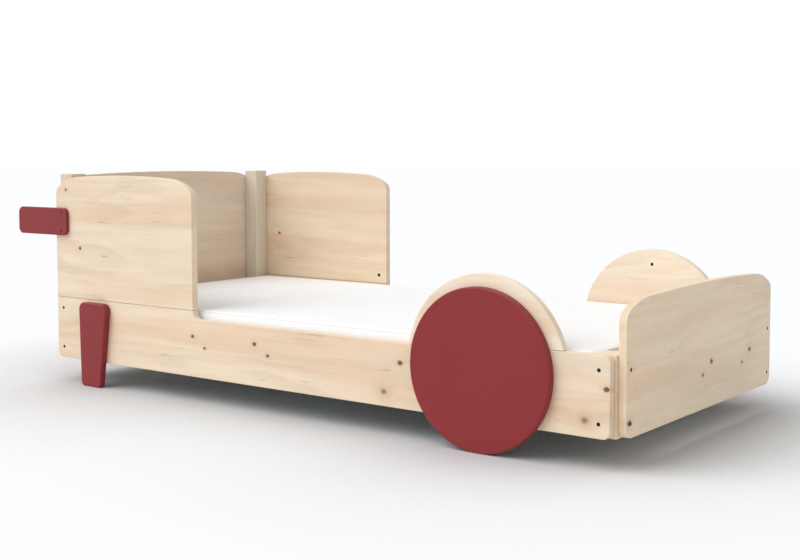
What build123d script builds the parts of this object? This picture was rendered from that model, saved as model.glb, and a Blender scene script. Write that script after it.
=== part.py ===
from build123d import *
import math
import os

# Child's floor bed shaped like a hand cart: pine boards bolted to corner posts,
# a pair of round discs and a pair of tapered legs that stand on the floor, and
# a pair of flat handle boards at the head end.
# +X runs from the head end to the foot end, +Y from the near side to the far
# side and +Z up. The origin is on the floor under the middle of the whole bed.

os.makedirs("parts", exist_ok=True)

# Driving dimensions, in millimetres

# Mattress and the play left around it
MATTRESS_LENGTH = 1900.0
MATTRESS_WIDTH = 900.0
MATTRESS_THICKNESS = 130.0
MATTRESS_PLAY = 3.5
MATTRESS_LIFT_GAP = 0.3
MATTRESS_ABOVE_RAIL = 7.0
MATTRESS_EDGE = 20.0
MATTRESS_CORNER = 30.0

# Boards and posts
BOARD = 22.0
BOARD_EDGE = 2.5
POST = 58.0
POST_PROUD = 5.0
POST_EDGE = 4.0
POST_TOP_EDGE = 1.5
HEAD_POST_HEIGHT = 594.0
GROUND_CLEARANCE = 77.0

# Side rails, with the lowered stretch where the child climbs in
RAIL_HEIGHT = 197.0
RAIL_CORNER = 20.0
ENTRY_DROP = 25.0
ENTRY_CORNER = 25.0
ENTRY_END_FROM_WHEEL = 37.0

# Tall panels at the head end, and the outline all the crowned boards share:
# a long top arc, a shoulder arc and a small corner arc
PANEL_LENGTH = 632.0
PANEL_TOP = 592.0
PANEL_ARC = 3340.0
HEADBOARD_TOP = 597.0
FOOTBOARD_TOP = 333.0
END_BOARD_ARC = 7600.0
END_BOARD_SETBACK = 29.0
END_BOARD_CORNER = 28.0
SHOULDER_SPAN = 110.0
SHOULDER_RADIUS = 205.0
CORNER_RADIUS = 30.0

# Shadow groove round the foot of a board that stands on a rail
GROOVE_HEIGHT = 1.4
GROOVE_DEPTH = 4.0

# Round discs and the half-round boards behind them
WHEEL_RADIUS = 207.0
WHEEL_X = 1657.0
WHEEL_FLAT = 0.5
ARCH_RADIUS = 235.0
ARCH_X = 1662.0
ARCH_Z = 134.0
RED_BOARD = 22.0
RED_EDGE = 4.5

# Tapered legs: left and right edges at the top and at the floor
LEG_TOP = 190.0
LEG_TOP_LEFT = 133.0
LEG_TOP_RIGHT = 266.0
LEG_FOOT_LEFT = 141.0
LEG_FOOT_RIGHT = 230.5
LEG_TOP_CORNER = 23.0
LEG_FOOT_CORNER = 14.0

# Handle boards
HANDLE_REACH = 181.0
HANDLE_END = 66.0
HANDLE_LOW = 397.5
HANDLE_HEIGHT = 88.0
HANDLE_BOARD = 12.0
HANDLE_CORNER = 20.0
HANDLE_EDGE = 2.5

# Slatted base
SLAT_COUNT = 14
SLAT_WIDTH = 70.0
SLAT_THICKNESS = 18.0
SLAT_PLAY = 3.0
SLAT_END_GAP = 14.0
SLAT_EDGE = 2.0
LEDGER_WIDTH = 30.0
LEDGER_HEIGHT = 40.0
LEDGER_END_GAP = 6.0
LEDGER_EDGE = 2.0

# Bolts, threaded inserts, dowels, cam fittings and screws
BOLT_RADIUS = 3.0
BOLT_HEAD_RADIUS = 4.8
BOLT_HEAD_HEIGHT = 4.0
BOLT_SINK = 0.6
BOLT_SOCKET_RADIUS = 2.3
BOLT_SOCKET_DEPTH = 2.5
BOLT_INTO_POST = 20.0
INSERT_RADIUS = 5.0
INSERT_LENGTH = 18.0
SHORT_INSERT_LENGTH = 13.0
HOLE_PLAY = 0.25
CUT_PAST = 1.0
BOLT_FROM_RAIL_END = 30.0
BOLT_FROM_RAIL_EDGE = 35.0
HEADBOARD_UPPER_BOLTS = (365.0, 520.0)
LEG_LOW_BOLT = 110.5
WHEEL_RAIL_BOLT = 118.5
WHEEL_BOLT_SPREAD = 110.0
ARCH_BOLT = 323.0
DOWEL_RADIUS = 4.0
DOWEL_HALF = 16.0
DOWEL_EDGE = 0.8
PANEL_DOWELS = (190.0, 316.0, 460.0)
ARCH_LOW_DOWEL = -150.0
ARCH_HIGH_DOWELS = (40.0, 150.0)
CAM_RADIUS = 6.0
CAM_DEPTH = 12.0
CAM_SLOT_LENGTH = 9.0
CAM_SLOT_WIDTH = 1.6
CAM_ABOVE_JOINT = 30.0
CAM_FROM_PANEL_END = 34.0
CAM_PIN_RADIUS = 3.5
CAM_PIN_INTO_RAIL = 28.0
CAM_PIN_NECK_RADIUS = 2.2
CAM_PIN_NECK_TOP = 2.5
CAM_PIN_NECK_LOW = 5.5
SCREW_RADIUS = 2.2
SCREW_HEAD_RADIUS = 4.2
SCREW_HEAD_HEIGHT = 2.6
HANDLE_SCREW_LENGTH = 62.0
HANDLE_SCREW_X = 40.5
HANDLE_SCREW_INSET = 13.0
LEDGER_SCREW_LENGTH = 44.0
LEDGER_SCREW_COUNT = 6
LEDGER_SCREW_FROM_POST = 60.0
SLAT_SCREW_LENGTH = 34.0

# Sizes that follow from them
INNER_LENGTH = MATTRESS_LENGTH + 2 * MATTRESS_PLAY
INNER_WIDTH = MATTRESS_WIDTH + 2 * MATTRESS_PLAY
RAIL_LENGTH = INNER_LENGTH + 2 * (POST - POST_PROUD)
FRAME_WIDTH = INNER_WIDTH + 2 * BOARD
HEAD_X = (HANDLE_REACH - RAIL_LENGTH - POST_PROUD - BOARD) / 2
FOOT_X = HEAD_X + RAIL_LENGTH
NEAR_Y = -FRAME_WIDTH / 2
INNER_Y = NEAR_Y + BOARD
BASE_Z = GROUND_CLEARANCE
RAIL_TOP_Z = BASE_Z + RAIL_HEIGHT
ENTRY_Z = RAIL_TOP_Z - ENTRY_DROP
WHEEL_CENTRE_X = HEAD_X + WHEEL_X
WHEEL_CENTRE_Z = WHEEL_RADIUS - WHEEL_FLAT
ARCH_CENTRE_X = HEAD_X + ARCH_X
ARCH_CENTRE_Z = BASE_Z + ARCH_Z
ENTRY_END_X = WHEEL_CENTRE_X - ENTRY_END_FROM_WHEEL
PANEL_END_X = HEAD_X + PANEL_LENGTH
MATTRESS_TOP_Z = RAIL_TOP_Z + MATTRESS_ABOVE_RAIL
MATTRESS_LOW_Z = MATTRESS_TOP_Z - MATTRESS_THICKNESS
SLAT_TOP_Z = MATTRESS_LOW_Z - MATTRESS_LIFT_GAP
LEDGER_TOP_Z = SLAT_TOP_Z - SLAT_THICKNESS
POST_CENTRE_Y = INNER_Y + POST / 2
BOLT_HEIGHTS = (BASE_Z + BOLT_FROM_RAIL_EDGE, RAIL_TOP_Z - BOLT_FROM_RAIL_EDGE)
RAIL_MIDDLE_Z = BASE_Z + RAIL_HEIGHT / 2
CAM_Z = RAIL_TOP_Z + CAM_ABOVE_JOINT

OUT_NEAR = (0, -1, 0)
IN_NEAR = (0, 1, 0)
OUT_HEAD = (-1, 0, 0)
OUT_FOOT = (1, 0, 0)
UP = (0, 0, 1)


# Shared shapes

def side_board(outline, y_low, thickness):
    """An outline drawn on (x, z), made solid from y_low upward in y."""
    return extrude(Plane.XZ.offset(-(y_low + thickness)) * outline, thickness)


def end_board(outline, x_low, thickness):
    """An outline drawn on (y, z), made solid from x_low upward in x."""
    return extrude(Plane.YZ.offset(x_low) * outline, thickness)


def softened(board, across, radius, is_free=lambda edge: True):
    """Round the free edges of a board's two broad faces, which face along an axis."""
    return fillet(board.faces().filter_by(across).edges().filter_by(is_free), radius)


def clear_of_rail(edge):
    """Whether an edge of an upper board isn't part of its foot."""
    return edge.center().Z > RAIL_TOP_Z + BOARD_EDGE


def clear_of_panel(edge):
    """Whether an edge of the rail isn't under the tall panel."""
    middle = edge.center()
    return middle.X > PANEL_END_X or middle.Z < RAIL_TOP_Z - BOARD_EDGE


def block(x_low, x_high, y_low, y_high, z_low, z_high):
    """A box between two corners."""
    box = Box(x_high - x_low, y_high - y_low, z_high - z_low)
    return Pos((x_low + x_high) / 2, (y_low + y_high) / 2, (z_low + z_high) / 2) * box


def face_grooves(left, right, low):
    """The grooves along both broad faces of a side board's foot."""
    faces = ((NEAR_Y - CUT_PAST, NEAR_Y + GROOVE_DEPTH), (INNER_Y - GROOVE_DEPTH, INNER_Y + CUT_PAST))
    return [block(left, right, *face, low - CUT_PAST, low + GROOVE_HEIGHT) for face in faces]


def end_groove(left, right, low):
    """The groove across one end of a side board's foot."""
    return block(left, right, NEAR_Y, INNER_Y, low - CUT_PAST, low + GROOVE_HEIGHT)


def crowned_outline(left, right, low, peak, arc, foot_corner):
    """A board outline with straight sides and a crowned top.

    Half of the top is a long arc about the middle, then a shoulder arc that
    touches it, then a corner arc that touches both the shoulder and the side.
    """
    middle = (left + right) / 2
    top_centre = peak - arc
    lean = math.asin((right - SHOULDER_SPAN - middle) / arc)
    meet = (middle + arc * math.sin(lean), top_centre + arc * math.cos(lean))
    shoulder = (
        middle + (arc - SHOULDER_RADIUS) * math.sin(lean),
        top_centre + (arc - SHOULDER_RADIUS) * math.cos(lean),
    )
    corner_x = right - CORNER_RADIUS
    span = SHOULDER_RADIUS - CORNER_RADIUS
    corner_z = shoulder[1] + math.sqrt(span**2 - (corner_x - shoulder[0]) ** 2)
    turn = math.atan2(corner_x - shoulder[0], corner_z - shoulder[1])

    def on_circle(centre, radius, angle):
        return (centre[0] + radius * math.sin(angle), centre[1] + radius * math.cos(angle))

    shoulder_end = on_circle(shoulder, SHOULDER_RADIUS, turn)
    shoulder_mid = on_circle(shoulder, SHOULDER_RADIUS, (lean + turn) / 2)
    corner_mid = on_circle((corner_x, corner_z), CORNER_RADIUS, (turn + math.pi / 2) / 2)
    side_top = (right, corner_z)

    def flip(point):
        return (2 * middle - point[0], point[1])

    top = [
        ThreePointArc(flip(meet), (middle, peak), meet),
        ThreePointArc(meet, shoulder_mid, shoulder_end),
        ThreePointArc(shoulder_end, corner_mid, side_top),
        ThreePointArc(flip(meet), flip(shoulder_mid), flip(shoulder_end)),
        ThreePointArc(flip(shoulder_end), flip(corner_mid), flip(side_top)),
    ]
    foot = FilletPolyline(
        side_top, (right, low), (left, low), flip(side_top), radius=[foot_corner, foot_corner]
    )
    return make_face([*top, foot])


def aimed(shape, point, direction):
    """Place a fastener drawn along z, so that its head looks along a direction."""
    return Plane(origin=point, z_dir=direction) * shape


def rod(radius, top, bottom):
    """A round rod on the z axis between two heights."""
    return Pos(0, 0, (top + bottom) / 2) * Cylinder(radius, top - bottom)


def bolt(length):
    """A flat-headed bolt with a six-sided key socket; its head is just sunk."""
    head_low = -BOLT_SINK - BOLT_HEAD_HEIGHT
    body = rod(BOLT_HEAD_RADIUS, -BOLT_SINK, head_low) + rod(BOLT_RADIUS, head_low, -length)
    socket = extrude(RegularPolygon(BOLT_SOCKET_RADIUS, 6), BOLT_SOCKET_DEPTH)
    return body - Pos(0, 0, -BOLT_SINK - BOLT_SOCKET_DEPTH) * socket


def bolt_hole(board_depth):
    """The counterbore and clearance hole for a bolt through one board."""
    head_low = -BOLT_SINK - BOLT_HEAD_HEIGHT
    counterbore = rod(BOLT_HEAD_RADIUS + HOLE_PLAY, CUT_PAST, head_low)
    return counterbore + rod(BOLT_RADIUS + HOLE_PLAY, head_low, -board_depth - CUT_PAST)


def insert(length):
    """A threaded insert, drawn as a plain sleeve whose mouth is at z = 0."""
    return rod(INSERT_RADIUS, 0.0, -length) - rod(BOLT_RADIUS + HOLE_PLAY, 0.0, -length)


def insert_hole(length, bolt_reach):
    """A blind hole for an insert, with room for the bolt's tip below it."""
    tip = rod(BOLT_RADIUS + HOLE_PLAY, -length, -bolt_reach - CUT_PAST)
    return rod(INSERT_RADIUS + HOLE_PLAY, CUT_PAST, -length - HOLE_PLAY) + tip


def screw(length):
    """A countersunk wood screw with a plain shank; its head is flush."""
    head = Cone(SCREW_RADIUS, SCREW_HEAD_RADIUS, SCREW_HEAD_HEIGHT)
    return Pos(0, 0, -SCREW_HEAD_HEIGHT / 2) * head + rod(SCREW_RADIUS, -SCREW_HEAD_HEIGHT, -length)


def screw_hole(depth):
    """The countersunk hole for a wood screw."""
    slope = HOLE_PLAY / 2
    head = Cone(SCREW_RADIUS + slope, SCREW_HEAD_RADIUS + HOLE_PLAY, SCREW_HEAD_HEIGHT + slope)
    sink = Pos(0, 0, -(SCREW_HEAD_HEIGHT + slope) / 2) * head
    return sink + rod(SCREW_RADIUS + slope, -SCREW_HEAD_HEIGHT, -depth - slope)


def dowel(half_length):
    """A fluted dowel drawn as a plain pin with eased ends, centred on z = 0."""
    pin = Cylinder(DOWEL_RADIUS, 2 * half_length)
    return chamfer(pin.edges().filter_by(GeomType.CIRCLE), DOWEL_EDGE)


def dowel_hole(half_length):
    """The hole for both halves of a dowel, centred on z = 0."""
    return Cylinder(DOWEL_RADIUS + HOLE_PLAY / 2, 2 * half_length + CUT_PAST)


def cut_all(solid, cutters):
    """Take a list of cutters out of a solid."""
    for cutter in cutters:
        solid = solid - cutter
    return solid


def mirrored(shape):
    """The same shape on the other side of the bed."""
    return mirror(shape, about=Plane.XZ)


# Places of the fasteners, on the near side

def rail_bolt_places():
    """Where bolts go through the near rail into the corner posts."""
    ends = (HEAD_X + BOLT_FROM_RAIL_END, FOOT_X - BOLT_FROM_RAIL_END)
    return [(x, NEAR_Y, z) for x in ends for z in BOLT_HEIGHTS]


def headboard_bolt_places():
    """Where bolts go through the headboard into the near head post."""
    x = HEAD_X - POST_PROUD - BOARD
    heights = [*BOLT_HEIGHTS, *[BASE_Z + z for z in HEADBOARD_UPPER_BOLTS]]
    return [(x, POST_CENTRE_Y, z) for z in heights]


def footboard_bolt_places():
    """Where bolts go through the footboard into the near foot post."""
    x = FOOT_X + POST_PROUD + BOARD
    return [(x, POST_CENTRE_Y, z) for z in BOLT_HEIGHTS]


def side_dowel_places():
    """Dowels that run across the near rail into the posts."""
    ends = (HEAD_X + BOLT_FROM_RAIL_END, FOOT_X - BOLT_FROM_RAIL_END)
    return [(x, INNER_Y, RAIL_MIDDLE_Z) for x in ends]


def panel_dowel_places():
    """Upright dowels between the near rail and its tall panel."""
    return [(HEAD_X + x, NEAR_Y + BOARD / 2, RAIL_TOP_Z) for x in PANEL_DOWELS]


def arch_dowel_places():
    """Upright dowels between the near rail and its half-round board."""
    y = NEAR_Y + BOARD / 2
    high = [(ARCH_CENTRE_X + x, y, RAIL_TOP_Z) for x in ARCH_HIGH_DOWELS]
    return [(ARCH_CENTRE_X + ARCH_LOW_DOWEL, y, ENTRY_Z), *high]


def cam_places():
    """Where the cam housing is on the near panel's inner face."""
    return [(PANEL_END_X - CAM_FROM_PANEL_END, INNER_Y, CAM_Z)]


def wheel_bolt_places():
    """Bolts from inside the bed into the back of the near disc."""
    rail_z = BASE_Z + WHEEL_RAIL_BOLT
    return [
        (ARCH_CENTRE_X, INNER_Y, BASE_Z + ARCH_BOLT),
        (WHEEL_CENTRE_X - WHEEL_BOLT_SPREAD, INNER_Y, rail_z),
        (WHEEL_CENTRE_X + WHEEL_BOLT_SPREAD, INNER_Y, rail_z),
    ]


def leg_bolt_places():
    """Bolts from inside the bed into the back of the near leg."""
    x = HEAD_X + (LEG_TOP_LEFT + LEG_TOP_RIGHT) / 2
    return [(x, INNER_Y, z) for z in (BASE_Z + LEG_LOW_BOLT, RAIL_TOP_Z - BOLT_FROM_RAIL_EDGE)]


def handle_screw_places():
    """Screws through the near handle board and panel into the head post."""
    low = BASE_Z + HANDLE_LOW
    heights = (low + HANDLE_SCREW_INSET, low + HANDLE_HEIGHT - HANDLE_SCREW_INSET)
    return [(HEAD_X + HANDLE_SCREW_X, NEAR_Y - HANDLE_BOARD, z) for z in heights]


def ledger_screw_places():
    """Screws through the near ledger into the rail."""
    first = HEAD_X + POST + LEDGER_SCREW_FROM_POST
    last = FOOT_X - POST - LEDGER_SCREW_FROM_POST
    step = (last - first) / (LEDGER_SCREW_COUNT - 1)
    z = LEDGER_TOP_Z - LEDGER_HEIGHT / 2
    return [(first + step * i, INNER_Y + LEDGER_WIDTH, z) for i in range(LEDGER_SCREW_COUNT)]


def slat_centres():
    """The slats' places along the bed."""
    first = HEAD_X - POST_PROUD + POST + SLAT_END_GAP + SLAT_WIDTH / 2
    last = FOOT_X + POST_PROUD - POST - SLAT_END_GAP - SLAT_WIDTH / 2
    step = (last - first) / (SLAT_COUNT - 1)
    return [first + step * i for i in range(SLAT_COUNT)]


def slat_screw_places():
    """One screw through each slat's near end into the ledger."""
    y = INNER_Y + LEDGER_WIDTH / 2
    return [(x, y, SLAT_TOP_Z) for x in slat_centres()]


# Boards and posts

def side_rail():
    """Near rail: full height at both ends, lowered where the child climbs in."""
    left, right = HEAD_X, FOOT_X
    outline = make_face(
        [
            FilletPolyline(
                (PANEL_END_X, RAIL_TOP_Z),
                (left, RAIL_TOP_Z),
                (left, BASE_Z),
                (right, BASE_Z),
                (right, RAIL_TOP_Z),
                (ENTRY_END_X, RAIL_TOP_Z),
                radius=[0, RAIL_CORNER, RAIL_CORNER, RAIL_CORNER],
            ),
            Line((ENTRY_END_X, RAIL_TOP_Z), (ENTRY_END_X, ENTRY_Z)),
            Line((ENTRY_END_X, ENTRY_Z), (PANEL_END_X + ENTRY_CORNER, ENTRY_Z)),
            RadiusArc(
                (PANEL_END_X + ENTRY_CORNER, ENTRY_Z), (PANEL_END_X, RAIL_TOP_Z), ENTRY_CORNER
            ),
        ]
    )
    rail = softened(side_board(outline, NEAR_Y, BOARD), Axis.Y, BOARD_EDGE, clear_of_panel)
    cutters = [aimed(bolt_hole(BOARD), p, OUT_NEAR) for p in rail_bolt_places()]
    cutters += [aimed(dowel_hole(DOWEL_HALF), p, OUT_NEAR) for p in side_dowel_places()]
    upright = dowel_hole(DOWEL_HALF)
    cutters += [aimed(upright, p, UP) for p in panel_dowel_places() + arch_dowel_places()]
    cutters += [aimed(cam_pin_hole(), p, UP) for p in cam_places()]
    inner_bolts = leg_bolt_places() + wheel_bolt_places()[1:]
    cutters += [aimed(bolt_hole(BOARD), p, IN_NEAR) for p in inner_bolts]
    ledger_screw = screw_hole(LEDGER_SCREW_LENGTH)
    cutters += [aimed(ledger_screw, p, IN_NEAR) for p in ledger_screw_places()]
    return cut_all(rail, cutters)


def side_panel():
    """Near tall panel that stands on the rail at the head end."""
    outline = crowned_outline(HEAD_X, PANEL_END_X, RAIL_TOP_Z, BASE_Z + PANEL_TOP, PANEL_ARC, 0)
    panel = softened(side_board(outline, NEAR_Y, BOARD), Axis.Y, BOARD_EDGE, clear_of_rail)
    cutters = face_grooves(HEAD_X, PANEL_END_X, RAIL_TOP_Z)
    cutters += [
        end_groove(HEAD_X - CUT_PAST, HEAD_X + GROOVE_DEPTH, RAIL_TOP_Z),
        end_groove(PANEL_END_X - GROOVE_DEPTH, PANEL_END_X + CUT_PAST, RAIL_TOP_Z),
    ]
    cutters += [aimed(dowel_hole(DOWEL_HALF), p, UP) for p in panel_dowel_places()]
    cutters += [aimed(cam_housing_hole(), p, IN_NEAR) for p in cam_places()]
    cutters += [aimed(cam_pin_hole(), p, UP) for p in cam_places()]
    handle_screw = screw_hole(HANDLE_SCREW_LENGTH)
    cutters += [aimed(handle_screw, p, OUT_NEAR) for p in handle_screw_places()]
    return cut_all(panel, cutters)


def half_chord(height):
    """Half the half-round board's width at a height."""
    return math.sqrt(ARCH_RADIUS**2 - (height - ARCH_CENTRE_Z) ** 2)


def wheel_arch():
    """Near half-round board on the rail, behind the disc, with a stepped foot."""
    disc = Pos(ARCH_CENTRE_X, ARCH_CENTRE_Z) * Circle(ARCH_RADIUS)
    reach = 2 * ARCH_RADIUS
    above_entry = Pos(ENTRY_END_X, ENTRY_Z) * Rectangle(reach, reach, align=(Align.MAX, Align.MIN))
    above_rail = Pos(ENTRY_END_X, RAIL_TOP_Z) * Rectangle(reach, reach, align=(Align.MIN, Align.MIN))
    outline = disc & (above_entry + above_rail)
    arch = softened(side_board(outline, NEAR_Y, BOARD), Axis.Y, BOARD_EDGE, clear_of_rail)
    left = ARCH_CENTRE_X - half_chord(ENTRY_Z)
    right = ARCH_CENTRE_X + half_chord(RAIL_TOP_Z)
    cutters = face_grooves(left - CUT_PAST, ENTRY_END_X, ENTRY_Z)
    cutters += face_grooves(ENTRY_END_X, right + CUT_PAST, RAIL_TOP_Z)
    cutters += [
        end_groove(left - CUT_PAST, left + GROOVE_DEPTH, ENTRY_Z),
        end_groove(right - GROOVE_DEPTH, right + CUT_PAST, RAIL_TOP_Z),
    ]
    cutters += [aimed(dowel_hole(DOWEL_HALF), p, UP) for p in arch_dowel_places()]
    cutters += [aimed(bolt_hole(BOARD), wheel_bolt_places()[0], IN_NEAR)]
    return cut_all(arch, cutters)


def end_panel(x_low, peak, bolt_places, outward):
    """A crowned board across an end of the bed, bolted to both posts."""
    half = FRAME_WIDTH / 2 - END_BOARD_SETBACK
    outline = crowned_outline(
        -half, half, BASE_Z, BASE_Z + peak, END_BOARD_ARC, END_BOARD_CORNER
    )
    board = softened(end_board(outline, x_low, BOARD), Axis.X, BOARD_EDGE)
    holes = [aimed(bolt_hole(BOARD), p, outward) for p in bolt_places]
    return cut_all(board, holes + [mirrored(hole) for hole in holes])


def headboard():
    """Tall board on the outer side of the head posts."""
    x_low = HEAD_X - POST_PROUD - BOARD
    return end_panel(x_low, HEADBOARD_TOP, headboard_bolt_places(), OUT_HEAD)


def footboard():
    """Low board on the outer side of the foot posts."""
    x_low = FOOT_X + POST_PROUD
    return end_panel(x_low, FOOTBOARD_TOP, footboard_bolt_places(), OUT_FOOT)


def corner_post(x_low, height, bolt_places, outward, side_places):
    """A square post inside a corner, drilled for inserts from two sides."""
    post = block(x_low, x_low + POST, INNER_Y, INNER_Y + POST, BASE_Z, BASE_Z + height)
    post = fillet(post.edges().filter_by(Axis.Z), POST_EDGE)
    post = chamfer(post.faces().sort_by(Axis.Z)[-1].edges(), POST_TOP_EDGE)
    hole = insert_hole(INSERT_LENGTH, BOLT_INTO_POST)
    cutters = [aimed(hole, (x, INNER_Y, z), OUT_NEAR) for x, _, z in side_places]
    face_x = x_low if outward == OUT_HEAD else x_low + POST
    cutters += [aimed(hole, (face_x, y, z), outward) for _, y, z in bolt_places]
    cutters += [aimed(dowel_hole(DOWEL_HALF), p, OUT_NEAR) for p in side_dowel_places()]
    return cut_all(post, cutters)


def head_post():
    """Near head post, about as tall as the headboard."""
    x_low = HEAD_X - POST_PROUD
    side_places = rail_bolt_places()[:2]
    post = corner_post(x_low, HEAD_POST_HEIGHT, headboard_bolt_places(), OUT_HEAD, side_places)
    handle_screw = screw_hole(HANDLE_SCREW_LENGTH)
    return cut_all(post, [aimed(handle_screw, p, OUT_NEAR) for p in handle_screw_places()])


def foot_post():
    """Near foot post, level with the rail's top."""
    x_low = FOOT_X + POST_PROUD - POST
    side_places = rail_bolt_places()[2:]
    return corner_post(x_low, RAIL_HEIGHT, footboard_bolt_places(), OUT_FOOT, side_places)


# Painted pieces

def wheel_disc():
    """Near disc: a fixed round board that stands on the floor on a small flat."""
    outline = Pos(WHEEL_CENTRE_X, WHEEL_CENTRE_Z) * Circle(WHEEL_RADIUS)
    disc = softened(side_board(outline, NEAR_Y - RED_BOARD, RED_BOARD), Axis.Y, RED_EDGE)
    left, right = WHEEL_CENTRE_X - WHEEL_RADIUS, WHEEL_CENTRE_X + WHEEL_RADIUS
    below_floor = block(left, right, NEAR_Y - 2 * RED_BOARD, NEAR_Y + RED_BOARD, -RED_BOARD, 0.0)
    return cut_all(disc - below_floor, back_insert_holes(wheel_bolt_places()))


def leg():
    """Near leg: a tapered board whose top lies on the rail's outer face."""
    outline = FilletPolyline(
        (HEAD_X + (LEG_FOOT_LEFT + LEG_FOOT_RIGHT) / 2, 0.0),
        (HEAD_X + LEG_FOOT_RIGHT, 0.0),
        (HEAD_X + LEG_TOP_RIGHT, BASE_Z + LEG_TOP),
        (HEAD_X + LEG_TOP_LEFT, BASE_Z + LEG_TOP),
        (HEAD_X + LEG_FOOT_LEFT, 0.0),
        close=True,
        radius=[0, LEG_FOOT_CORNER, LEG_TOP_CORNER, LEG_TOP_CORNER, LEG_FOOT_CORNER],
    )
    board = side_board(make_face(outline), NEAR_Y - RED_BOARD, RED_BOARD)
    return cut_all(softened(board, Axis.Y, RED_EDGE), back_insert_holes(leg_bolt_places()))


def back_insert_holes(places):
    """Blind holes in the back of a painted board, opposite the inner bolts."""
    hole = insert_hole(SHORT_INSERT_LENGTH, SHORT_INSERT_LENGTH + CUT_PAST)
    return [aimed(hole, (x, NEAR_Y, z), IN_NEAR) for x, _, z in places]


def handle_board():
    """Near handle board: a flat bar that juts out past the head end."""
    length = HANDLE_REACH + HANDLE_END
    centre = Pos(HEAD_X + HANDLE_END - length / 2, BASE_Z + HANDLE_LOW + HANDLE_HEIGHT / 2)
    outline = centre * RectangleRounded(length, HANDLE_HEIGHT, HANDLE_CORNER)
    board = side_board(outline, NEAR_Y - HANDLE_BOARD, HANDLE_BOARD)
    board = softened(board, Axis.Y, HANDLE_EDGE)
    hole = screw_hole(HANDLE_SCREW_LENGTH)
    return cut_all(board, [aimed(hole, p, OUT_NEAR) for p in handle_screw_places()])


# Slatted base and mattress

def ledger():
    """Near ledger: a batten on the rail's inner face that carries the slats."""
    x_low = HEAD_X - POST_PROUD + POST + LEDGER_END_GAP
    x_high = FOOT_X + POST_PROUD - POST - LEDGER_END_GAP
    low = LEDGER_TOP_Z - LEDGER_HEIGHT
    batten = block(x_low, x_high, INNER_Y, INNER_Y + LEDGER_WIDTH, low, LEDGER_TOP_Z)
    batten = fillet(batten.edges().filter_by(Axis.X), LEDGER_EDGE)
    hole = screw_hole(LEDGER_SCREW_LENGTH)
    cutters = [aimed(hole, p, IN_NEAR) for p in ledger_screw_places()]
    cutters += [aimed(screw_hole(SLAT_SCREW_LENGTH), p, UP) for p in slat_screw_places()]
    return cut_all(batten, cutters)


def slat(x):
    """One slat across the bed, resting on both ledgers."""
    half = INNER_WIDTH / 2 - SLAT_PLAY
    low = SLAT_TOP_Z - SLAT_THICKNESS
    board = block(x - SLAT_WIDTH / 2, x + SLAT_WIDTH / 2, -half, half, low, SLAT_TOP_Z)
    board = fillet(board.edges().filter_by(Axis.Y), SLAT_EDGE)
    y = slat_screw_places()[0][1]
    hole = aimed(screw_hole(SLAT_SCREW_LENGTH), (x, y, SLAT_TOP_Z), UP)
    return cut_all(board, [hole, mirrored(hole)])


def mattress():
    """Foam mattress with rounded edges and corners."""
    form = block(
        -MATTRESS_LENGTH / 2,
        MATTRESS_LENGTH / 2,
        -MATTRESS_WIDTH / 2,
        MATTRESS_WIDTH / 2,
        MATTRESS_LOW_Z,
        MATTRESS_TOP_Z,
    )
    form = fillet(form.edges().filter_by(Axis.Z), MATTRESS_CORNER)
    form = fillet(form.faces().filter_by(Axis.Z).edges(), MATTRESS_EDGE)
    return Pos(HEAD_X + RAIL_LENGTH / 2, 0, 0) * form


# Fittings

def cam_housing():
    """Cam housing: a slotted drum in the panel, its mouth at z = 0."""
    drum = rod(CAM_RADIUS, 0.0, -CAM_DEPTH)
    slot = Box(CAM_SLOT_LENGTH, CAM_SLOT_WIDTH, 2 * CAM_SLOT_WIDTH)
    neck = Rot(0, 90, 0) * Cylinder(CAM_PIN_RADIUS + HOLE_PLAY, CAM_RADIUS + CUT_PAST)
    passage = Pos(-CAM_RADIUS / 2, 0, -BOARD / 2) * neck
    return drum - slot - passage


def cam_housing_hole():
    """The blind hole for a cam housing."""
    return rod(CAM_RADIUS + HOLE_PLAY / 2, CUT_PAST, -CAM_DEPTH - HOLE_PLAY)


def cam_pin():
    """Upright pin from the rail into the cam housing, from its centre down."""
    shank = rod(CAM_PIN_RADIUS, 0.0, -CAM_ABOVE_JOINT - CAM_PIN_INTO_RAIL)
    groove = rod(CAM_PIN_RADIUS, -CAM_PIN_NECK_TOP, -CAM_PIN_NECK_LOW)
    groove = groove - rod(CAM_PIN_NECK_RADIUS, -CAM_PIN_NECK_TOP, -CAM_PIN_NECK_LOW)
    return Pos(0, -BOARD / 2, 0) * (shank - groove)


def cam_pin_hole():
    """The hole for a cam pin in the panel's foot and the rail's top."""
    depth = CAM_ABOVE_JOINT + CAM_PIN_INTO_RAIL
    return Pos(0, -BOARD / 2, 0) * rod(CAM_PIN_RADIUS + HOLE_PLAY, HOLE_PLAY, -depth - HOLE_PLAY)


def both_sides(shapes):
    """A group of like fittings on the near side and the far side."""
    return Compound(children=[*shapes, *[mirrored(shape) for shape in shapes]])


def placed(shape, places, direction):
    """Copies of one fitting at a list of places."""
    return [aimed(shape, p, direction) for p in places]


def post_inserts():
    """Threaded inserts in the four corner posts."""
    sleeve = insert(INSERT_LENGTH)
    rail_side = [(x, INNER_Y, z) for x, _, z in rail_bolt_places()]
    head_x = HEAD_X - POST_PROUD
    foot_x = FOOT_X + POST_PROUD
    head_side = [(head_x, y, z) for _, y, z in headboard_bolt_places()]
    foot_side = [(foot_x, y, z) for _, y, z in footboard_bolt_places()]
    shapes = placed(sleeve, rail_side, OUT_NEAR)
    shapes += placed(sleeve, head_side, OUT_HEAD)
    shapes += placed(sleeve, foot_side, OUT_FOOT)
    return both_sides(shapes)


def back_inserts(places):
    """Threaded inserts in the backs of the painted boards."""
    sleeve = insert(SHORT_INSERT_LENGTH)
    return both_sides([aimed(sleeve, (x, NEAR_Y, z), IN_NEAR) for x, _, z in places])


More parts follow.
